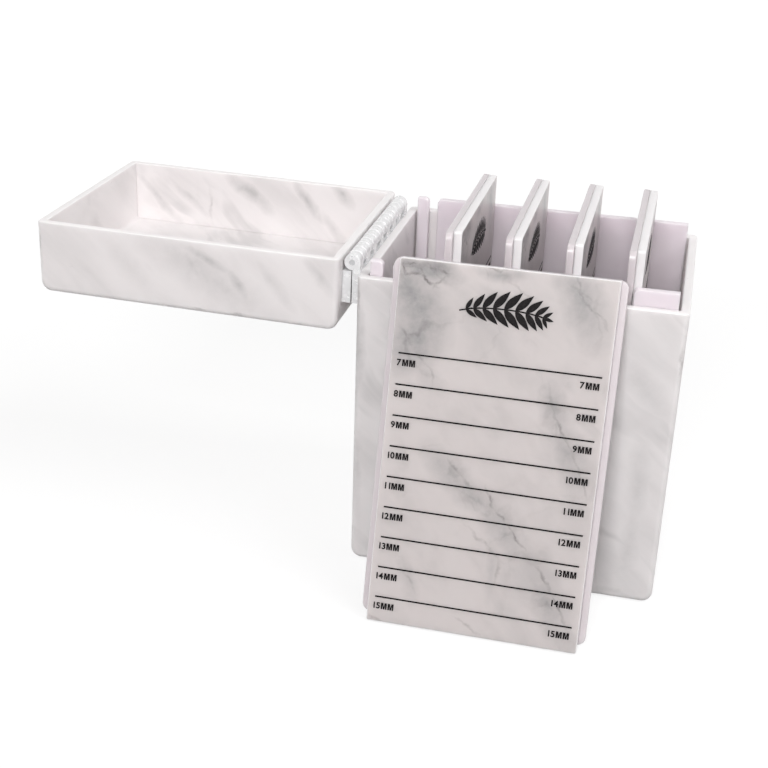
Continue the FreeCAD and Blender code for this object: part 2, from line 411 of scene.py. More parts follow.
def printed_marble(name, finish, strokes, place, bare_edges):
    """Cast acrylic with a marble print under a gloss coat: milky, with drifting clouds and thin broken veins.

    place turns the piece's own coordinates into the print's, and bare_edges says where the sheet was cut and
    shows no print."""
    material, tree, surface = new_finish(name, ior=1.49, specular_ior_level=0.35, subsurface_weight=0.8,
                                         subsurface_radius=(1.0, 0.97, 0.97), subsurface_scale=SCATTER_DEPTH)
    where = add_node(tree, "ShaderNodeTexCoord")
    turned = place.inverted()
    point = add_node(tree, "ShaderNodeMapping", {
        "Vector": where.outputs["Object"],
        "Location": turned.to_translation() / MM,
        "Rotation": turned.to_euler(),
        "Scale": (1 / MM, 1 / MM, 1 / MM),
    }).outputs["Vector"]
    vein_point = strayed(tree, point, VEIN_STRAY, 4.0, finish.vein_wander)
    drawn = add_node(tree, "ShaderNodeGroup", {
        "Cloud Point": strayed(tree, point, CLOUD_STRAY, 4.0, finish.cloud_wander),
        "Vein Point": vein_point,
    }, node_tree=strokes)

    # Clouds drawn one by one are mottled by the grain
    # On the case front, the strokes down its left edge are partly painted shade
    grain = add_node(tree, "ShaderNodeTexNoise", {
        "Vector": point, "Scale": 1 / PRINT_GRAIN, "Detail": 4.0, "Roughness": 0.65})
    mottle = add_node(tree, "ShaderNodeMapRange", {
        "Value": grain.outputs["Fac"], "From Min": 0.3, "From Max": 0.65, "To Min": 0.62, "To Max": 1.1})
    smudge = add_node(tree, "ShaderNodeMath", {0: drawn.outputs["Cloud"], 1: mottle.outputs["Result"]},
                      operation="MULTIPLY")

    # Elsewhere haze and soft streaks lie in slanting layers, thin one way and long the two others
    laid = add_node(tree, "ShaderNodeVectorMath", {0: point, 1: Vector(finish.print_shift) / MM},
                    operation="ADD")
    drift = add_node(tree, "ShaderNodeMapping", {
        "Vector": strayed(tree, laid.outputs["Vector"], DRIFT_STRAY, 2.0, 1.6 * finish.cloud_wander),
        "Rotation": LAYER_TURN,
        "Scale": (finish.cloud_width / MM, finish.cloud_length / MM, finish.cloud_length / MM),
    }, vector_type="TEXTURE")
    billow = add_node(tree, "ShaderNodeTexNoise", {
        "Vector": drift.outputs["Vector"], "Scale": 1.0, "Detail": 5.0, "Roughness": 0.55})
    haze = add_node(tree, "ShaderNodeMapRange", {
        "Value": billow.outputs["Fac"], "From Min": 0.42, "From Max": 0.76, "To Max": finish.cloud_depth},
        interpolation_type="SMOOTHSTEP")
    flow = add_node(tree, "ShaderNodeTexNoise", {
        "Vector": drift.outputs["Vector"], "Scale": 0.8, "Detail": 4.0, "Roughness": 0.5})
    crest = add_node(tree, "ShaderNodeMath", {0: flow.outputs["Fac"], 1: 0.5}, operation="SUBTRACT")
    off_crest = add_node(tree, "ShaderNodeMath", {0: crest.outputs["Value"]}, operation="ABSOLUTE")
    streak = add_node(tree, "ShaderNodeMapRange", {
        "Value": off_crest.outputs["Value"], "From Max": 0.07, "To Min": finish.streak_depth, "To Max": 0.0},
        interpolation_type="SMOOTHSTEP")
    scattered = add_node(tree, "ShaderNodeTexNoise", {
        "Vector": laid.outputs["Vector"], "Scale": 1 / STREAK_PATCHES, "Detail": 3.0})
    patch = add_node(tree, "ShaderNodeMapRange", {
        "Value": scattered.outputs["Fac"], "From Min": 0.44, "From Max": 0.66},
        interpolation_type="SMOOTHSTEP")
    streaked = add_node(tree, "ShaderNodeMath", {0: streak.outputs["Result"], 1: patch.outputs["Result"]},
                        operation="MULTIPLY")
    drifted = add_node(tree, "ShaderNodeMath", {0: haze.outputs["Result"], 1: streaked.outputs["Value"]},
                       operation="MAXIMUM")
    cloud = add_node(tree, "ShaderNodeMath", {0: smudge.outputs["Value"], 1: drifted.outputs["Value"]},
                     operation="MAXIMUM")

    # Faint veins run through the clouds, and veins drawn one by one are worn by the grain
    ridge = add_node(tree, "ShaderNodeTexNoise", {
        "Vector": vein_point, "Scale": MM / finish.vein_spacing, "Detail": 4.0, "Roughness": 0.5,
        "Distortion": 0.4})
    fold = add_node(tree, "ShaderNodeMath", {0: ridge.outputs["Fac"], 1: 0.5}, operation="SUBTRACT")
    off_ridge = add_node(tree, "ShaderNodeMath", {0: fold.outputs["Value"]}, operation="ABSOLUTE")
    thread = add_node(tree, "ShaderNodeMapRange", {
        "Value": off_ridge.outputs["Value"], "From Min": 0.0, "From Max": 0.03,
        "To Min": finish.vein_depth, "To Max": 0.0}, interpolation_type="SMOOTHSTEP")
    faint = add_node(tree, "ShaderNodeMath", {0: thread.outputs["Result"], 1: cloud.outputs["Value"]},
                     operation="MULTIPLY")
    worn = add_node(tree, "ShaderNodeMapRange", {
        "Value": grain.outputs["Fac"], "From Min": 0.35, "From Max": 0.6, "To Min": 0.25})
    mottled = add_node(tree, "ShaderNodeMath", {0: drawn.outputs["Vein"], 1: worn.outputs["Result"]},
                       operation="MULTIPLY")
    veined = add_node(tree, "ShaderNodeMath", {0: faint.outputs["Value"], 1: mottled.outputs["Value"]},
                      operation="MAXIMUM")

    # No print on cut edges, which keep the bare sheet's colour
    printed = bare_edges(tree, where)
    clouded = add_node(tree, "ShaderNodeMath", {0: cloud.outputs["Value"], 1: printed}, operation="MULTIPLY")
    inked = add_node(tree, "ShaderNodeMath", {0: veined.outputs["Value"], 1: printed}, operation="MULTIPLY")
    sheet = add_node(tree, "ShaderNodeMix", {0: printed, MIX_A: finish.edge, MIX_B: finish.ground},
                     data_type="RGBA")
    milky = add_node(tree, "ShaderNodeMix", {
        0: clouded.outputs["Value"], MIX_A: sheet.outputs[MIX_RESULT], MIX_B: finish.cloud}, data_type="RGBA")
    marble = add_node(tree, "ShaderNodeMix", {
        0: inked.outputs["Value"], MIX_A: milky.outputs[MIX_RESULT], MIX_B: finish.vein}, data_type="RGBA")
    tree.links.new(marble.outputs[MIX_RESULT], surface.inputs["Base Color"])

    gloss = add_node(tree, "ShaderNodeMapRange", {
        "Value": grain.outputs["Fac"], "To Min": 0.24, "To Max": 0.36})
    tree.links.new(gloss.outputs["Result"], surface.inputs["Roughness"])
    ripple = add_node(tree, "ShaderNodeTexNoise", {"Vector": point, "Scale": 1 / COAT_RIPPLE, "Detail": 2.0})
    skin = add_node(tree, "ShaderNodeBump", {
        "Strength": 0.12, "Distance": 0.3 * MM, "Height": ripple.outputs["Fac"]})
    tree.links.new(skin.outputs["Normal"], surface.inputs["Normal"])
    return material


def rim_is_bare(rim_height):
    """Print all over a shell, except on its rim, which is the sheet's cut edge."""
    rim_depth = 2 * MM

    def mask(tree, where):
        facing = add_node(tree, "ShaderNodeSeparateXYZ", {0: where.outputs["Normal"]})
        height = add_node(tree, "ShaderNodeSeparateXYZ", {0: where.outputs["Object"]})
        upward = add_node(tree, "ShaderNodeMath", {0: facing.outputs["Z"], 1: 0.5}, operation="GREATER_THAN")
        high = add_node(tree, "ShaderNodeMath", {0: height.outputs["Z"], 1: rim_height - rim_depth},
                        operation="GREATER_THAN")
        rim = add_node(tree, "ShaderNodeMath", {0: upward.outputs["Value"], 1: high.outputs["Value"]},
                       operation="MULTIPLY")
        return add_node(tree, "ShaderNodeMath", {0: 1.0, 1: rim.outputs["Value"]},
                        operation="SUBTRACT").outputs["Value"]
    return mask


def sides_are_bare(place):
    """Print on the front of a tile's face plate alone."""
    def mask(tree, where):
        outward = place.to_3x3() @ Vector((0, -1, 0))
        facing = add_node(tree, "ShaderNodeVectorMath", {0: where.outputs["Normal"], 1: outward},
                          operation="DOT_PRODUCT")
        return add_node(tree, "ShaderNodeMath", {0: facing.outputs["Value"], 1: 0.8},
                        operation="GREATER_THAN").outputs["Value"]
    return mask


def opal_acrylic(name, shade):
    """Opal cast acrylic, laser cut: milky white, faintly clouded in the mass, with a soft gloss.

    The sheet's scuffs are finer than they are drawn, which is as coarse as they need to show in the gloss."""
    cloud_size = 22 * MM
    scuff_size = 2.5 * MM
    material, tree, surface = new_finish(name, ior=1.49, subsurface_weight=0.8,
                                         subsurface_radius=(1.0, 0.97, 0.98), subsurface_scale=SCATTER_DEPTH)
    where = add_node(tree, "ShaderNodeTexCoord")
    billow = add_node(tree, "ShaderNodeTexNoise", {
        "Vector": where.outputs["Object"], "Scale": 1 / cloud_size, "Detail": 4.0, "Roughness": 0.6})
    clouded = add_node(tree, "ShaderNodeMix", {
        0: billow.outputs["Fac"], MIX_A: shade, MIX_B: dimmed(shade, 0.9)}, data_type="RGBA")
    tree.links.new(clouded.outputs[MIX_RESULT], surface.inputs["Base Color"])
    grain = add_node(tree, "ShaderNodeTexNoise", {
        "Vector": where.outputs["Object"], "Scale": 1 / scuff_size, "Detail": 3.0})
    gloss = add_node(tree, "ShaderNodeMapRange", {
        "Value": grain.outputs["Fac"], "To Min": 0.26, "To Max": 0.4})
    tree.links.new(gloss.outputs["Result"], surface.inputs["Roughness"])
    skin = add_node(tree, "ShaderNodeBump", {
        "Strength": 0.08, "Distance": 0.2 * MM, "Height": billow.outputs["Fac"]})
    tree.links.new(skin.outputs["Normal"], surface.inputs["Normal"])
    return material


def clear_acrylic(name, shade):
    """Clear extruded acrylic, solvent bonded: bright, glassy and white where it is crazed and scuffed, with
    painted glints in its crazing.

    The crazing is finer than it is drawn, which is as coarse as it needs to show."""
    craze_size = 1.8 * MM
    haze_size = 4 * MM
    material, tree, surface = new_finish(name, ior=1.49, transmission_weight=0.2)
    where = add_node(tree, "ShaderNodeTexCoord")
    crazing = add_node(tree, "ShaderNodeTexVoronoi", {
        "Vector": where.outputs["Object"], "Scale": 1 / craze_size, "Randomness": 1.0})
    haze = add_node(tree, "ShaderNodeTexNoise", {
        "Vector": where.outputs["Object"], "Scale": 1 / haze_size, "Detail": 4.0, "Roughness": 0.6})
    frost = add_node(tree, "ShaderNodeMapRange", {
        "Value": haze.outputs["Fac"], "From Min": 0.4, "From Max": 0.65, "To Min": 0.05, "To Max": 0.3},
        interpolation_type="SMOOTHSTEP")
    tree.links.new(frost.outputs["Result"], surface.inputs["Roughness"])
    # Crazing cells lighten and dim the colour in specks: partly the crazing's own marks, partly painted
    # sparkle of lighter and darker facets
    glint = add_node(tree, "ShaderNodeMapRange", {
        "Value": crazing.outputs["Distance"], "From Min": 0.15, "From Max": 0.7},
        interpolation_type="SMOOTHSTEP")
    milky = add_node(tree, "ShaderNodeMix", {
        0: glint.outputs["Result"], MIX_A: shade, MIX_B: dimmed(shade, 0.9)}, data_type="RGBA")
    tree.links.new(milky.outputs[MIX_RESULT], surface.inputs["Base Color"])
    facets = add_node(tree, "ShaderNodeBump", {
        "Strength": 0.25, "Distance": 0.25 * MM, "Height": crazing.outputs["Distance"]})
    tree.links.new(facets.outputs["Normal"], surface.inputs["Normal"])
    return material


def drawn_steel(name, shade):
    """Drawn steel rod: bright, with streaks along its length.

    The streaks are finer than they are drawn, which is as coarse as they need to show."""
    streak_width = 0.3 * MM
    streak_length = 12 * MM
    material, tree, surface = new_finish(name, metallic=1.0)
    where = add_node(tree, "ShaderNodeTexCoord")
    along = add_node(tree, "ShaderNodeMapping", {
        "Vector": where.outputs["Object"], "Scale": (1 / streak_width, 1 / streak_length, 1 / streak_width)})
    streak = add_node(tree, "ShaderNodeTexNoise", {
        "Vector": along.outputs["Vector"], "Scale": 1.0, "Detail": 3.0})
    bright = add_node(tree, "ShaderNodeMix", {
        0: streak.outputs["Fac"], MIX_A: shade, MIX_B: dimmed(shade, 0.75)}, data_type="RGBA")
    tree.links.new(bright.outputs[MIX_RESULT], surface.inputs["Base Color"])
    gloss = add_node(tree, "ShaderNodeMapRange", {
        "Value": streak.outputs["Fac"], "To Min": 0.2, "To Max": 0.42})
    tree.links.new(gloss.outputs["Result"], surface.inputs["Roughness"])
    return material


def cured_ink(name, full, thin):
    """Ultraviolet-cured black ink: a dense, slightly raised film that thins out in specks.

    The specks are finer than they are drawn, which is as coarse as they need to show."""
    speck_size = 0.8 * MM
    material, tree, surface = new_finish(name, roughness=0.5, ior=1.5, specular_ior_level=0.1)
    where = add_node(tree, "ShaderNodeTexCoord")
    specks = add_node(tree, "ShaderNodeTexNoise", {
        "Vector": where.outputs["Object"], "Scale": 1 / speck_size, "Detail": 3.0})
    film = add_node(tree, "ShaderNodeMapRange", {
        "Value": specks.outputs["Fac"], "From Min": 0.45, "From Max": 0.7}, interpolation_type="SMOOTHSTEP")
    inked = add_node(tree, "ShaderNodeMix", {0: film.outputs["Result"], MIX_A: full, MIX_B: thin},
                     data_type="RGBA")
    tree.links.new(inked.outputs[MIX_RESULT], surface.inputs["Base Color"])
    return material


def middle(node_name):
    """Middle of a CAD node's box."""
    low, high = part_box(node_name)
    return (low + high) / 2


def tile_place(index):
    """Frame of a tile's printed side: X across it, Z up it, Y into the plate, from the middle of its foot."""
    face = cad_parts[f"tile_{index}_face"].data
    outward = max(face.polygons, key=lambda polygon: polygon.area).normal.copy()
    if outward.dot(middle(f"tile_{index}_face") - middle(f"tile_{index}_backing")) < 0:
        outward.negate()
    across = Vector((0, 0, 1)).cross(outward).normalized()
    turn = Matrix((across, -outward, outward.cross(across))).transposed()
    points = [turn.inverted() @ vertex.co for vertex in face.vertices]
    low = Vector([min(point[axis] for point in points) for axis in range(3)])
    high = Vector([max(point[axis] for point in points) for axis in range(3)])
    return turn.to_4x4() @ Matrix.Translation(((low.x + high.x) / 2, low.y, low.z))


def ruled_print_tree():
    """Geometry Nodes tree that rules a tile's lines and lays out its leaf sprig, in the tile's own frame."""
    tree = bpy.data.node_groups.new("ruled_print", "GeometryNodeTree")
    for label in ("Line Count", "Leaf Pairs"):
        tree.interface.new_socket(label, in_out="INPUT", socket_type="NodeSocketInt")
    for label in ("Line Length", "Line Width", "Line Pitch", "First Line", "Ink Thickness", "Leaf Length",
                  "Leaf Width", "Leaf Lean", "Leaf Swell", "Root Age", "Tip Age", "Stem Width", "Stem Start",
                  "Stem End", "Stem Run", "Sprig Reach", "Sprig Rise", "Sprig Middle"):
        tree.interface.new_socket(label, in_out="INPUT", socket_type="NodeSocketFloat")
    tree.interface.new_socket("Ink", in_out="INPUT", socket_type="NodeSocketMaterial")
    tree.interface.new_socket("Print", in_out="OUTPUT", socket_type="NodeSocketGeometry")
    given = add_node(tree, "NodeGroupInput").outputs
    order = add_node(tree, "GeometryNodeInputIndex").outputs["Index"]

    top = add_node(tree, "ShaderNodeCombineXYZ", {"Z": given["First Line"]})
    down = add_node(tree, "ShaderNodeMath", {0: given["Line Pitch"], 1: -1.0}, operation="MULTIPLY")
    step = add_node(tree, "ShaderNodeCombineXYZ", {"Z": down.outputs["Value"]})
    rows = add_node(tree, "GeometryNodeMeshLine", {
        "Count": given["Line Count"], "Start Location": top.outputs["Vector"],
        "Offset": step.outputs["Vector"]})
    stroke = add_node(tree, "ShaderNodeCombineXYZ", {
        "X": given["Line Length"], "Y": given["Ink Thickness"], "Z": given["Line Width"]})
    bar = add_node(tree, "GeometryNodeMeshCube", {"Size": stroke.outputs["Vector"]})
    lines = add_node(tree, "GeometryNodeInstanceOnPoints", {
        "Points": rows.outputs["Mesh"], "Instance": bar.outputs["Mesh"]})

    # One leaf stands on its foot and swells early, then runs out to a point
    plate = add_node(tree, "ShaderNodeCombineXYZ", {
        "X": given["Leaf Width"], "Y": given["Ink Thickness"], "Z": given["Leaf Length"]})
    strip = add_node(tree, "GeometryNodeMeshCube", {
        "Size": plate.outputs["Vector"], "Vertices X": 3, "Vertices Z": 13})
    corner = add_node(tree, "GeometryNodeInputPosition")
    here = add_node(tree, "ShaderNodeSeparateXYZ", {0: corner.outputs["Position"]})
    share = add_node(tree, "ShaderNodeMath", {0: here.outputs["Z"], 1: given["Leaf Length"]},
                     operation="DIVIDE")
    rise = add_node(tree, "ShaderNodeMath", {0: share.outputs["Value"], 1: 0.5}, operation="ADD")
    early = add_node(tree, "ShaderNodeMath", {0: rise.outputs["Value"], 1: given["Leaf Swell"]},
                     operation="POWER")
    swell = add_node(tree, "ShaderNodeMath", {0: early.outputs["Value"], 1: math.pi}, operation="MULTIPLY")
    round_out = add_node(tree, "ShaderNodeMath", {0: swell.outputs["Value"]}, operation="SINE")
    across = add_node(tree, "ShaderNodeMath", {0: here.outputs["X"], 1: round_out.outputs["Value"]},
                      operation="MULTIPLY")
    upward = add_node(tree, "ShaderNodeMath", {0: rise.outputs["Value"], 1: given["Leaf Length"]},
                      operation="MULTIPLY")
    tapered = add_node(tree, "ShaderNodeCombineXYZ", {
        "X": across.outputs["Value"], "Y": here.outputs["Y"], "Z": upward.outputs["Value"]})
    leaf = add_node(tree, "GeometryNodeSetPosition", {
        "Geometry": strip.outputs["Mesh"], "Position": tapered.outputs["Vector"]})
    closed = add_node(tree, "GeometryNodeMergeByDistance", {
        "Geometry": leaf.outputs["Geometry"], "Distance": 0.005 * MM})

    pair = add_node(tree, "GeometryNodeJoinGeometry")
    for side in (-1.0, 1.0):
        lean = add_node(tree, "ShaderNodeMath", {0: given["Leaf Lean"], 1: side}, operation="MULTIPLY")
        turn = add_node(tree, "ShaderNodeCombineXYZ", {"Y": lean.outputs["Value"]})
        leaning = add_node(tree, "GeometryNodeTransform", {
            "Geometry": closed.outputs["Geometry"], "Rotation": turn.outputs["Vector"]})
        tree.links.new(leaning.outputs["Geometry"], pair.inputs["Geometry"])

    # The stem runs over the top of an oval from left to right, and each joint of it heads along that oval
    last = add_node(tree, "ShaderNodeMath", {0: given["Leaf Pairs"], 1: 1.0}, operation="SUBTRACT")
    along = add_node(tree, "ShaderNodeMath", {0: order, 1: last.outputs["Value"]}, operation="DIVIDE")
    bend = add_node(tree, "ShaderNodeMapRange", {
        "Value": along.outputs["Value"], "To Min": given["Stem Start"], "To Max": given["Stem End"]})
    outward = add_node(tree, "ShaderNodeMath", {0: bend.outputs["Result"]}, operation="COSINE")
    lift = add_node(tree, "ShaderNodeMath", {0: bend.outputs["Result"]}, operation="SINE")
    reach = add_node(tree, "ShaderNodeMath", {0: outward.outputs["Value"], 1: given["Sprig Reach"]},
                     operation="MULTIPLY")
    height = add_node(tree, "ShaderNodeMath", {
        0: lift.outputs["Value"], 1: given["Sprig Rise"], 2: given["Sprig Middle"]}, operation="MULTIPLY_ADD")
    root = add_node(tree, "ShaderNodeCombineXYZ", {"X": reach.outputs["Value"], "Z": height.outputs["Value"]})
    roots = add_node(tree, "GeometryNodeMeshLine", {"Count": given["Leaf Pairs"]})
    joints = add_node(tree, "GeometryNodeSetPosition", {
        "Geometry": roots.outputs["Mesh"], "Position": root.outputs["Vector"]})
    sideways = add_node(tree, "ShaderNodeMath", {0: lift.outputs["Value"], 1: given["Sprig Reach"]},
                        operation="MULTIPLY")
    fall = add_node(tree, "ShaderNodeMath", {0: outward.outputs["Value"], 1: given["Sprig Rise"]},
                    operation="MULTIPLY")
    climb = add_node(tree, "ShaderNodeMath", {0: fall.outputs["Value"], 1: -1.0}, operation="MULTIPLY")
    heading = add_node(tree, "ShaderNodeMath", {0: sideways.outputs["Value"], 1: climb.outputs["Value"]},
                       operation="ARCTAN2")
    facing = add_node(tree, "ShaderNodeCombineXYZ", {"Y": heading.outputs["Value"]})

    # Leaves are longest before the middle of the stem and small at its tip, which ends in one leaf
    age = add_node(tree, "ShaderNodeMapRange", {
        "Value": along.outputs["Value"], "To Min": given["Root Age"], "To Max": given["Tip Age"]})
    grown = add_node(tree, "ShaderNodeMath", {0: age.outputs["Result"]}, operation="SINE")
    leaves = add_node(tree, "GeometryNodeInstanceOnPoints", {
        "Points": joints.outputs["Geometry"], "Instance": pair.outputs["Geometry"],
        "Rotation": facing.outputs["Vector"], "Scale": grown.outputs["Value"]})
    at_tip = add_node(tree, "ShaderNodeMath", {0: order, 1: last.outputs["Value"], 2: 0.1},
                      operation="COMPARE")
    tip = add_node(tree, "GeometryNodeInstanceOnPoints", {
        "Points": joints.outputs["Geometry"], "Selection": at_tip.outputs["Value"],
        "Instance": closed.outputs["Geometry"], "Rotation": facing.outputs["Vector"],
        "Scale": grown.outputs["Value"]})
    run = add_node(tree, "ShaderNodeMath", {0: given["Sprig Reach"], 1: given["Stem Run"]},
                   operation="MULTIPLY")
    joint_length = add_node(tree, "ShaderNodeMath", {0: run.outputs["Value"], 1: given["Leaf Pairs"]},
                            operation="DIVIDE")
    twig = add_node(tree, "ShaderNodeCombineXYZ", {
        "X": given["Stem Width"], "Y": given["Ink Thickness"], "Z": joint_length.outputs["Value"]})
    joint = add_node(tree, "GeometryNodeMeshCube", {"Size": twig.outputs["Vector"]})
    stem = add_node(tree, "GeometryNodeInstanceOnPoints", {
        "Points": joints.outputs["Geometry"], "Instance": joint.outputs["Mesh"],
        "Rotation": facing.outputs["Vector"]})

    joined = add_node(tree, "GeometryNodeJoinGeometry")
    for part in (lines, leaves, tip, stem):
        tree.links.new(part.outputs["Instances"], joined.inputs["Geometry"])
    half = add_node(tree, "ShaderNodeMath", {0: given["Ink Thickness"], 1: -0.5}, operation="MULTIPLY")
    proud = add_node(tree, "ShaderNodeCombineXYZ", {"Y": half.outputs["Value"]})
    raised = add_node(tree, "GeometryNodeTransform", {
        "Geometry": joined.outputs["Geometry"], "Translation": proud.outputs["Vector"]})
    real = add_node(tree, "GeometryNodeRealizeInstances", {"Geometry": raised.outputs["Geometry"]})
    inked = add_node(tree, "GeometryNodeSetMaterial", {
        "Geometry": real.outputs["Geometry"], "Material": given["Ink"]})
    add_node(tree, "NodeGroupOutput", {"Print": inked.outputs["Geometry"]})
    return tree


def evaluated_mesh(holder):
    """Plain mesh of an object's evaluated shape."""
    graph = bpy.context.evaluated_depsgraph_get()
    return bpy.data.meshes.new_from_object(holder.evaluated_get(graph))


def ruled_mesh(sizes, ink):
    """Lines and sprig of the print as one plain mesh."""
    holder = bpy.data.objects.new("ruled_print", bpy.data.meshes.new("ruled_print"))
    bpy.context.scene.collection.objects.link(holder)
    tree = ruled_print_tree()
    modifier = holder.modifiers.new("ruled_print", "NODES")
    modifier.node_group = tree
    for socket in tree.interface.items_tree:
        if socket.in_out == "INPUT":
            setting = socket.name.lower().replace(" ", "_")
            modifier[socket.identifier] = ink if setting == "ink" else getattr(sizes, setting)
    mesh = evaluated_mesh(holder)
    bpy.data.objects.remove(holder)
    return mesh


def digits_mesh(text, sizes):
    """Digits as a plain mesh, upright in the tile's frame, their lower left corner at the origin."""
    letters = bpy.data.curves.new("digits", "FONT")
    letters.body = text
    letters.offset = sizes.digit_bold
    letters.space_character = 0.9
    letters.resolution_u = 4
    letters.extrude = 0.5  # One unit thick in all, which the scale below brings to the ink's thickness
    holder = bpy.data.objects.new("digits", letters)
    bpy.context.scene.collection.objects.link(holder)
    mesh = evaluated_mesh(holder)
    bpy.data.objects.remove(holder)
    bpy.data.curves.remove(letters)
    corners = [[f(v.co[axis] for v in mesh.vertices) for axis in range(3)] for f in (min, max)]
    scale = sizes.label_height / (corners[1][1] - corners[0][1])
    mesh.transform(Matrix.Translation((-corners[0][0], -corners[0][1], -corners[0][2])))
    mesh.transform(Matrix.Diagonal((scale, scale, sizes.ink_thickness, 1.0)))
    mesh.transform(Matrix.Rotation(math.radians(90), 4, "X"))
    return mesh


def letter_mesh(sizes):
    """Bold capital M as a plain mesh, upright in the tile's frame, its lower left corner at the origin."""
    wide, high, stroke = sizes.letter_width, sizes.label_height, sizes.letter_stroke
    shoulder, point = 1.45 * stroke, 0.9 * stroke
    valley, armpit = 0.36 * high, 0.66 * high
    left_half = ((0.0, 0.0), (0.0, high), (shoulder, high), (wide / 2, valley))
    left_foot = (((wide - point) / 2, 0.0), (stroke, armpit), (stroke, 0.0))
    outline = list(left_half)
    outline += [(wide - x, z) for x, z in reversed(left_half[:-1])]
    outline += [(wide - x, z) for x, z in reversed(left_foot)]
    outline += left_foot
    letter = bmesh.new()
    front = letter.faces.new([letter.verts.new((x, 0.0, z)) for x, z in outline])
    raised = bmesh.ops.extrude_face_region(letter, geom=[front])["geom"]
    corners = [part for part in raised if isinstance(part, bmesh.types.BMVert)]
    bmesh.ops.translate(letter, verts=corners, vec=(0, -sizes.ink_thickness, 0))
    bmesh.ops.triangulate(letter, faces=letter.faces)
    mesh = bpy.data.meshes.new("letter")
    letter.to_mesh(mesh)
    letter.free()
    return mesh


def number_mesh(number, sizes):
    """One printed number with its unit as a plain mesh, and its width."""
    digits = digits_mesh(str(number), sizes)
    letter = letter_mesh(sizes)
    label = bmesh.new()
    label.from_mesh(digits)
    width = max(v.co.x for v in digits.vertices)
    for _ in range(2):
        placed = letter.copy()
        placed.transform(Matrix.Translation((width + sizes.label_gap, 0, 0)))
        label.from_mesh(placed)
        width += sizes.label_gap + sizes.letter_width
    mesh = bpy.data.meshes.new("number")
    label.to_mesh(mesh)
    label.free()
    return mesh, width


def tile_print(sizes, ink):
    """The whole print of a tile in the tile's frame: lines, sprig and a number at each end of each line."""
    sheet = bmesh.new()
    sheet.from_mesh(ruled_mesh(sizes, ink))
    end = sizes.line_length / 2
    for row in range(sizes.line_count):
        number, width = number_mesh(sizes.first_number + row, sizes)
        height = sizes.first_line - row * sizes.line_pitch - sizes.label_drop - sizes.label_height / 2
        for left in (-end - sizes.label_outset, end - sizes.label_inset - width):
            placed = number.copy()
            placed.transform(Matrix.Translation((left, 0, height)))
            sheet.from_mesh(placed)
    bmesh.ops.remove_doubles(sheet, verts=sheet.verts, dist=0.001 * MM)
    bmesh.ops.recalc_face_normals(sheet, faces=sheet.faces)
    mesh = bpy.data.meshes.new("tile_print")
    sheet.to_mesh(mesh)
    sheet.free()
    mesh.materials.clear()
    mesh.materials.append(ink)
    return mesh


class LASHCASE_OT_dress_shells(bpy.types.Operator):
    """Prints the case and the lid with clouded marble"""
    bl_idname = "lash_case.dress_shells"
    bl_label = "Dress shells"

    def execute(self, context):
        finish = context.scene.lash_case.shell
        wall_reach = 6.0
        rims = {name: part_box(name)[1].z for name in ("case_shell", "lid_shell")}
        strokes = {
            "case_shell": stroke_group("case_strokes", [(CASE_FRONT_CLOUDS_AND_EDGE_SHADE, FRONT_WALL, wall_reach)],
                                       [(CASE_FRONT_VEINS, FRONT_WALL, wall_reach)]),
            "lid_shell": stroke_group("lid_strokes", [(LID_FRONT_CLOUDS, FRONT_WALL, wall_reach),
                                                      (LID_BACK_CLOUDS, BACK_WALL, wall_reach)],
                                      [(LID_FRONT_VEINS, FRONT_WALL, wall_reach),
                                       (LID_BACK_VEINS, BACK_WALL, wall_reach)]),
        }
        for name, rim in rims.items():
            marble = printed_marble(f"marble_print_on_{name}", finish, strokes[name], Matrix.Identity(4),
                                    rim_is_bare(rim))
            dress(name, marble)
        return {"FINISHED"}


class LASHCASE_OT_dress_combs(bpy.types.Operator):
    """Gives the slot combs and the tiles' backing plates their opal acrylic"""
    bl_idname = "lash_case.dress_combs"
    bl_label = "Dress combs and backings"

    def execute(self, context):
        plain = context.scene.lash_case.plain
        opal = opal_acrylic("opal_comb_acrylic", plain.opal)
        for name in ("front_slot_comb", "rear_slot_comb"):
            dress(name, opal)
        backing = opal_acrylic("opal_backing_acrylic", plain.backing)
        for index in TILES:
            dress(f"tile_{index}_backing", backing)
        return {"FINISHED"}


class LASHCASE_OT_dress_hinge(bpy.types.Operator):
    """Gives the hinge leaves clear acrylic and the pin drawn steel"""
    bl_idname = "lash_case.dress_hinge"
    bl_label = "Dress hinge"

    def execute(self, context):
        plain = context.scene.lash_case.plain
        clear = clear_acrylic("clear_hinge_acrylic", plain.clear)
        for name in ("case_hinge_leaf", "lid_hinge_leaf"):
            dress(name, clear)
        dress("hinge_pin", drawn_steel("drawn_steel_pin", plain.steel))
        return {"FINISHED"}


class LASHCASE_OT_dress_tiles(bpy.types.Operator):
    """Prints the tiles' face plates with veined marble"""
    bl_idname = "lash_case.dress_tiles"
    bl_label = "Dress tiles"

    def execute(self, context):
        finish = context.scene.lash_case.tile
        whole_plate = 10000.0
        strokes = stroke_group("tile_strokes", [(TILE_CLOUDS, 0.0, whole_plate)],
                               [(TILE_VEINS, 0.0, whole_plate)])
        for index in TILES:
            place = tile_place(index)
            marble = printed_marble(f"marble_print_on_tile_{index}", finish, strokes, place,
                                    sides_are_bare(place))
            dress(f"tile_{index}_face", marble)
        return {"FINISHED"}


class LASHCASE_OT_print_tiles(bpy.types.Operator):
    """Prints lines, numbers and an ornament on every tile"""
    bl_idname = "lash_case.print_tiles"
    bl_label = "Print tiles"

    def execute(self, context):
        case = context.scene.lash_case
        ink = cured_ink("cured_black_ink", case.plain.ink, case.plain.thin_ink)
        sheet = tile_print(case.ruled, ink)
        for index in TILES:
            mesh = sheet.copy()
            mesh.transform(tile_place(index))
            piece = bpy.data.objects.new(f"tile_{index}_print", mesh)
            context.scene.collection.objects.link(piece)
            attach(piece, f"tile_{index}")
        return {"FINISHED"}


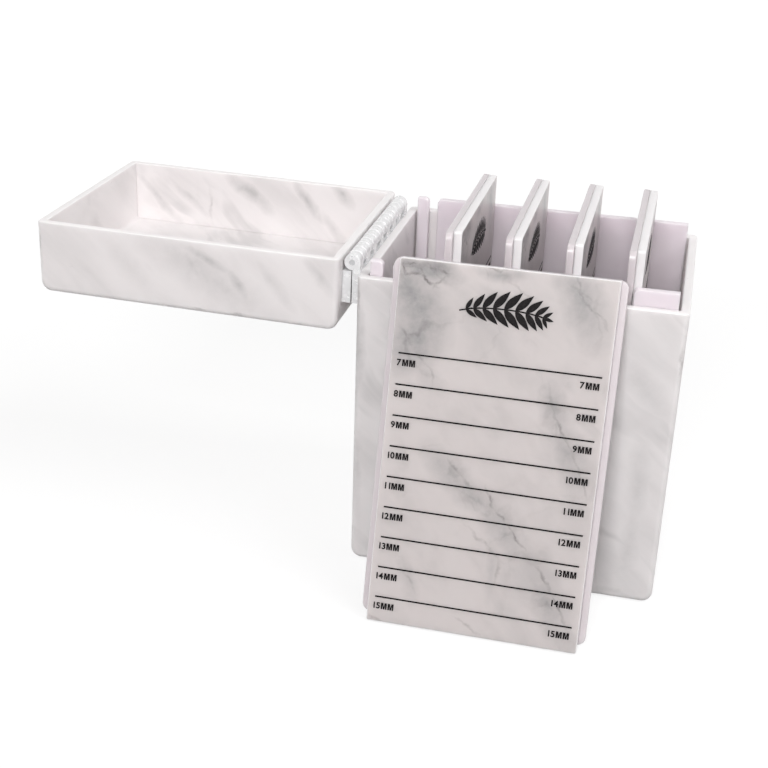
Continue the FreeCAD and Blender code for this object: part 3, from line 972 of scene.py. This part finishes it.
class LASHCASE_OT_build_stage(bpy.types.Operator):
    """Sets up the floor, the sky, the lamps and the camera"""
    bl_idname = "lash_case.build_stage"
    bl_label = "Build stage"

    def execute(self, context):
        studio = context.scene.lash_case.studio
        context.scene.view_settings.view_transform = "Standard"
        self.lay_floor(context, studio)
        self.hang_sky(context, studio)
        self.place_lamps(context, studio)
        self.place_camera(context, studio)
        return {"FINISHED"}

    def seen_directly(self, tree):
        """1 for rays that show the background itself: to the camera, in gloss or through clear pieces."""
        path = add_node(tree, "ShaderNodeLightPath").outputs
        glossy = add_node(tree, "ShaderNodeMath", {0: path["Is Camera Ray"], 1: path["Is Glossy Ray"]},
                          operation="MAXIMUM")
        return add_node(tree, "ShaderNodeMath", {0: glossy.outputs["Value"], 1: path["Is Transmission Ray"]},
                        operation="MAXIMUM").outputs["Value"]

    def lay_floor(self, context, studio):
        """Pale round floor that looks white and keeps a faint shadow."""
        disc = bmesh.new()
        bmesh.ops.create_circle(disc, cap_ends=True, segments=96, radius=studio.floor_radius)
        bmesh.ops.translate(disc, verts=disc.verts, vec=(0, 0, -studio.floor_drop))
        mesh = bpy.data.meshes.new("floor")
        disc.to_mesh(mesh)
        disc.free()
        floor = bpy.data.objects.new("floor", mesh)
        context.scene.collection.objects.link(floor)
        material = bpy.data.materials.new("white_paper_sweep")
        material.use_nodes = True
        tree = material.node_tree
        tree.nodes.clear()
        paper = add_node(tree, "ShaderNodeBsdfDiffuse", {"Color": studio.paper})
        seen = add_node(tree, "ShaderNodeBsdfDiffuse", {"Color": studio.seen_paper})
        where = add_node(tree, "ShaderNodeTexCoord")
        away = add_node(tree, "ShaderNodeVectorMath", {0: where.outputs["Object"]}, operation="LENGTH")
        level = add_node(tree, "ShaderNodeMapRange", {
            "Value": away.outputs["Value"], "From Min": studio.glow_start, "From Max": studio.glow_end,
            "To Min": studio.near_glow, "To Max": studio.far_glow})
        glow = add_node(tree, "ShaderNodeEmission", {"Color": WHITE, "Strength": level.outputs["Result"]})
        shown = add_node(tree, "ShaderNodeAddShader", {0: seen.outputs["BSDF"], 1: glow.outputs["Emission"]})
        both = add_node(tree, "ShaderNodeMixShader", {
            0: self.seen_directly(tree), 1: paper.outputs["BSDF"], 2: shown.outputs["Shader"]})
        add_node(tree, "ShaderNodeOutputMaterial", {"Surface": both.outputs["Shader"]})
        mesh.materials.append(material)

    def hang_sky(self, context, studio):
        """Even soft light from all round, white where it is seen."""
        world = bpy.data.worlds.new("studio_sky")
        world.use_nodes = True
        tree = world.node_tree
        tree.nodes.clear()
        light = add_node(tree, "ShaderNodeBackground", {"Color": studio.sky, "Strength": studio.sky_strength})
        white = add_node(tree, "ShaderNodeBackground", {"Color": WHITE, "Strength": 1.0})
        both = add_node(tree, "ShaderNodeMixShader", {
            0: self.seen_directly(tree), 1: light.outputs["Background"], 2: white.outputs["Background"]})
        add_node(tree, "ShaderNodeOutputWorld", {"Surface": both.outputs["Shader"]})
        context.scene.world = world

    def place_lamps(self, context, studio):
        """A small soft box in front, which reaches down into the slots, and a large one at each other side.

        The two low ones stay out of the gloss, where they would wash out the marble on level faces."""
        low, high = CAD_BOX
        target = (low + high) / 2
        lamps = (("key_lamp", studio.key_power, (0.4, 0.4), Vector((0.05, -1.0, 0.6))),
                 ("side_lamp", studio.side_power, (0.8, 0.8), Vector((0.75, -0.2, 0.95))),
                 ("back_lamp", studio.back_power, (1.8, 0.55), Vector((0.3, 1.15, 0.3))),
                 ("left_lamp", studio.left_power, (1.2, 0.55), Vector((-1.1, 0.35, 0.3))))
        low_lamps = ("back_lamp", "left_lamp")
        for name, power, (width, height), offset in lamps:
            light = bpy.data.lights.new(name, "AREA")
            light.shape = "RECTANGLE"
            light.size, light.size_y = width, height
            light.energy = power
            lamp = bpy.data.objects.new(name, light)
            lamp.visible_glossy = name not in low_lamps
            lamp.location = target + offset
            lamp.rotation_euler = (-offset).to_track_quat("-Z", "Y").to_euler()
            context.scene.collection.objects.link(lamp)

    def place_camera(self, context, studio):
        """Camera at the photograph's place and angle."""
        yaw, pitch, roll = studio.camera_yaw, studio.camera_pitch, studio.camera_roll
        forward = Vector((-math.sin(yaw) * math.cos(pitch), math.cos(yaw) * math.cos(pitch), math.sin(pitch)))
        right = Vector((math.cos(yaw), math.sin(yaw), 0))
        up = right.cross(forward)
        tilted_right = right * math.cos(roll) + up * math.sin(roll)
        tilted_up = up * math.cos(roll) - right * math.sin(roll)
        turn = Matrix((tilted_right, tilted_up, -forward)).transposed().to_4x4()
        view = bpy.data.cameras.new("photo_camera")
        view.sensor_width = SENSOR_WIDTH
        view.lens = SENSOR_WIDTH * studio.focal_pixels / PHOTO_PIXELS
        view.clip_start, view.clip_end = 0.01, 50.0
        camera = bpy.data.objects.new("photo_camera", view)
        camera.matrix_world = Matrix.Translation(studio.camera_place) @ turn
        context.scene.collection.objects.link(camera)
        context.scene.camera = camera


class LASHCASE_PT_sidebar(bpy.types.Panel):
    """Steps and settings of the lash case"""
    bl_idname = "LASHCASE_PT_sidebar"
    bl_label = "Lash Case"
    bl_space_type = "VIEW_3D"
    bl_region_type = "UI"
    bl_category = "Lash Case"

    def draw(self, context):
        for step in STEPS:
            self.layout.operator(step.bl_idname)
        case = context.scene.lash_case
        for group in (case.ruled, case.shell, case.tile, case.plain, case.studio):
            box = self.layout.box()
            box.label(text=group.bl_rna.name)
            for name in group.__annotations__:
                box.prop(group, name)


GROUPS = (RuledPrint, ShellMarble, TileMarble, PlainFinishes, Studio, LashCase)
STEPS = (LASHCASE_OT_dress_shells, LASHCASE_OT_dress_combs, LASHCASE_OT_dress_hinge, LASHCASE_OT_dress_tiles,
         LASHCASE_OT_print_tiles, LASHCASE_OT_build_stage)
CLASSES = GROUPS + STEPS + (LASHCASE_PT_sidebar,)


def register():
    """Adds the classes and the scene's settings."""
    for kind in CLASSES:
        bpy.utils.register_class(kind)
    bpy.types.Scene.lash_case = PointerProperty(type=LashCase)


def unregister():
    """Takes the settings and the classes away again."""
    del bpy.types.Scene.lash_case
    for kind in reversed(CLASSES):
        bpy.utils.unregister_class(kind)


def main():
    """Dresses the case."""
    register()
    bpy.ops.lash_case.dress_shells()
    bpy.ops.lash_case.dress_combs()
    bpy.ops.lash_case.dress_hinge()
    bpy.ops.lash_case.dress_tiles()
    bpy.ops.lash_case.print_tiles()
    bpy.ops.lash_case.build_stage()


if __name__ == "__main__":
    main()
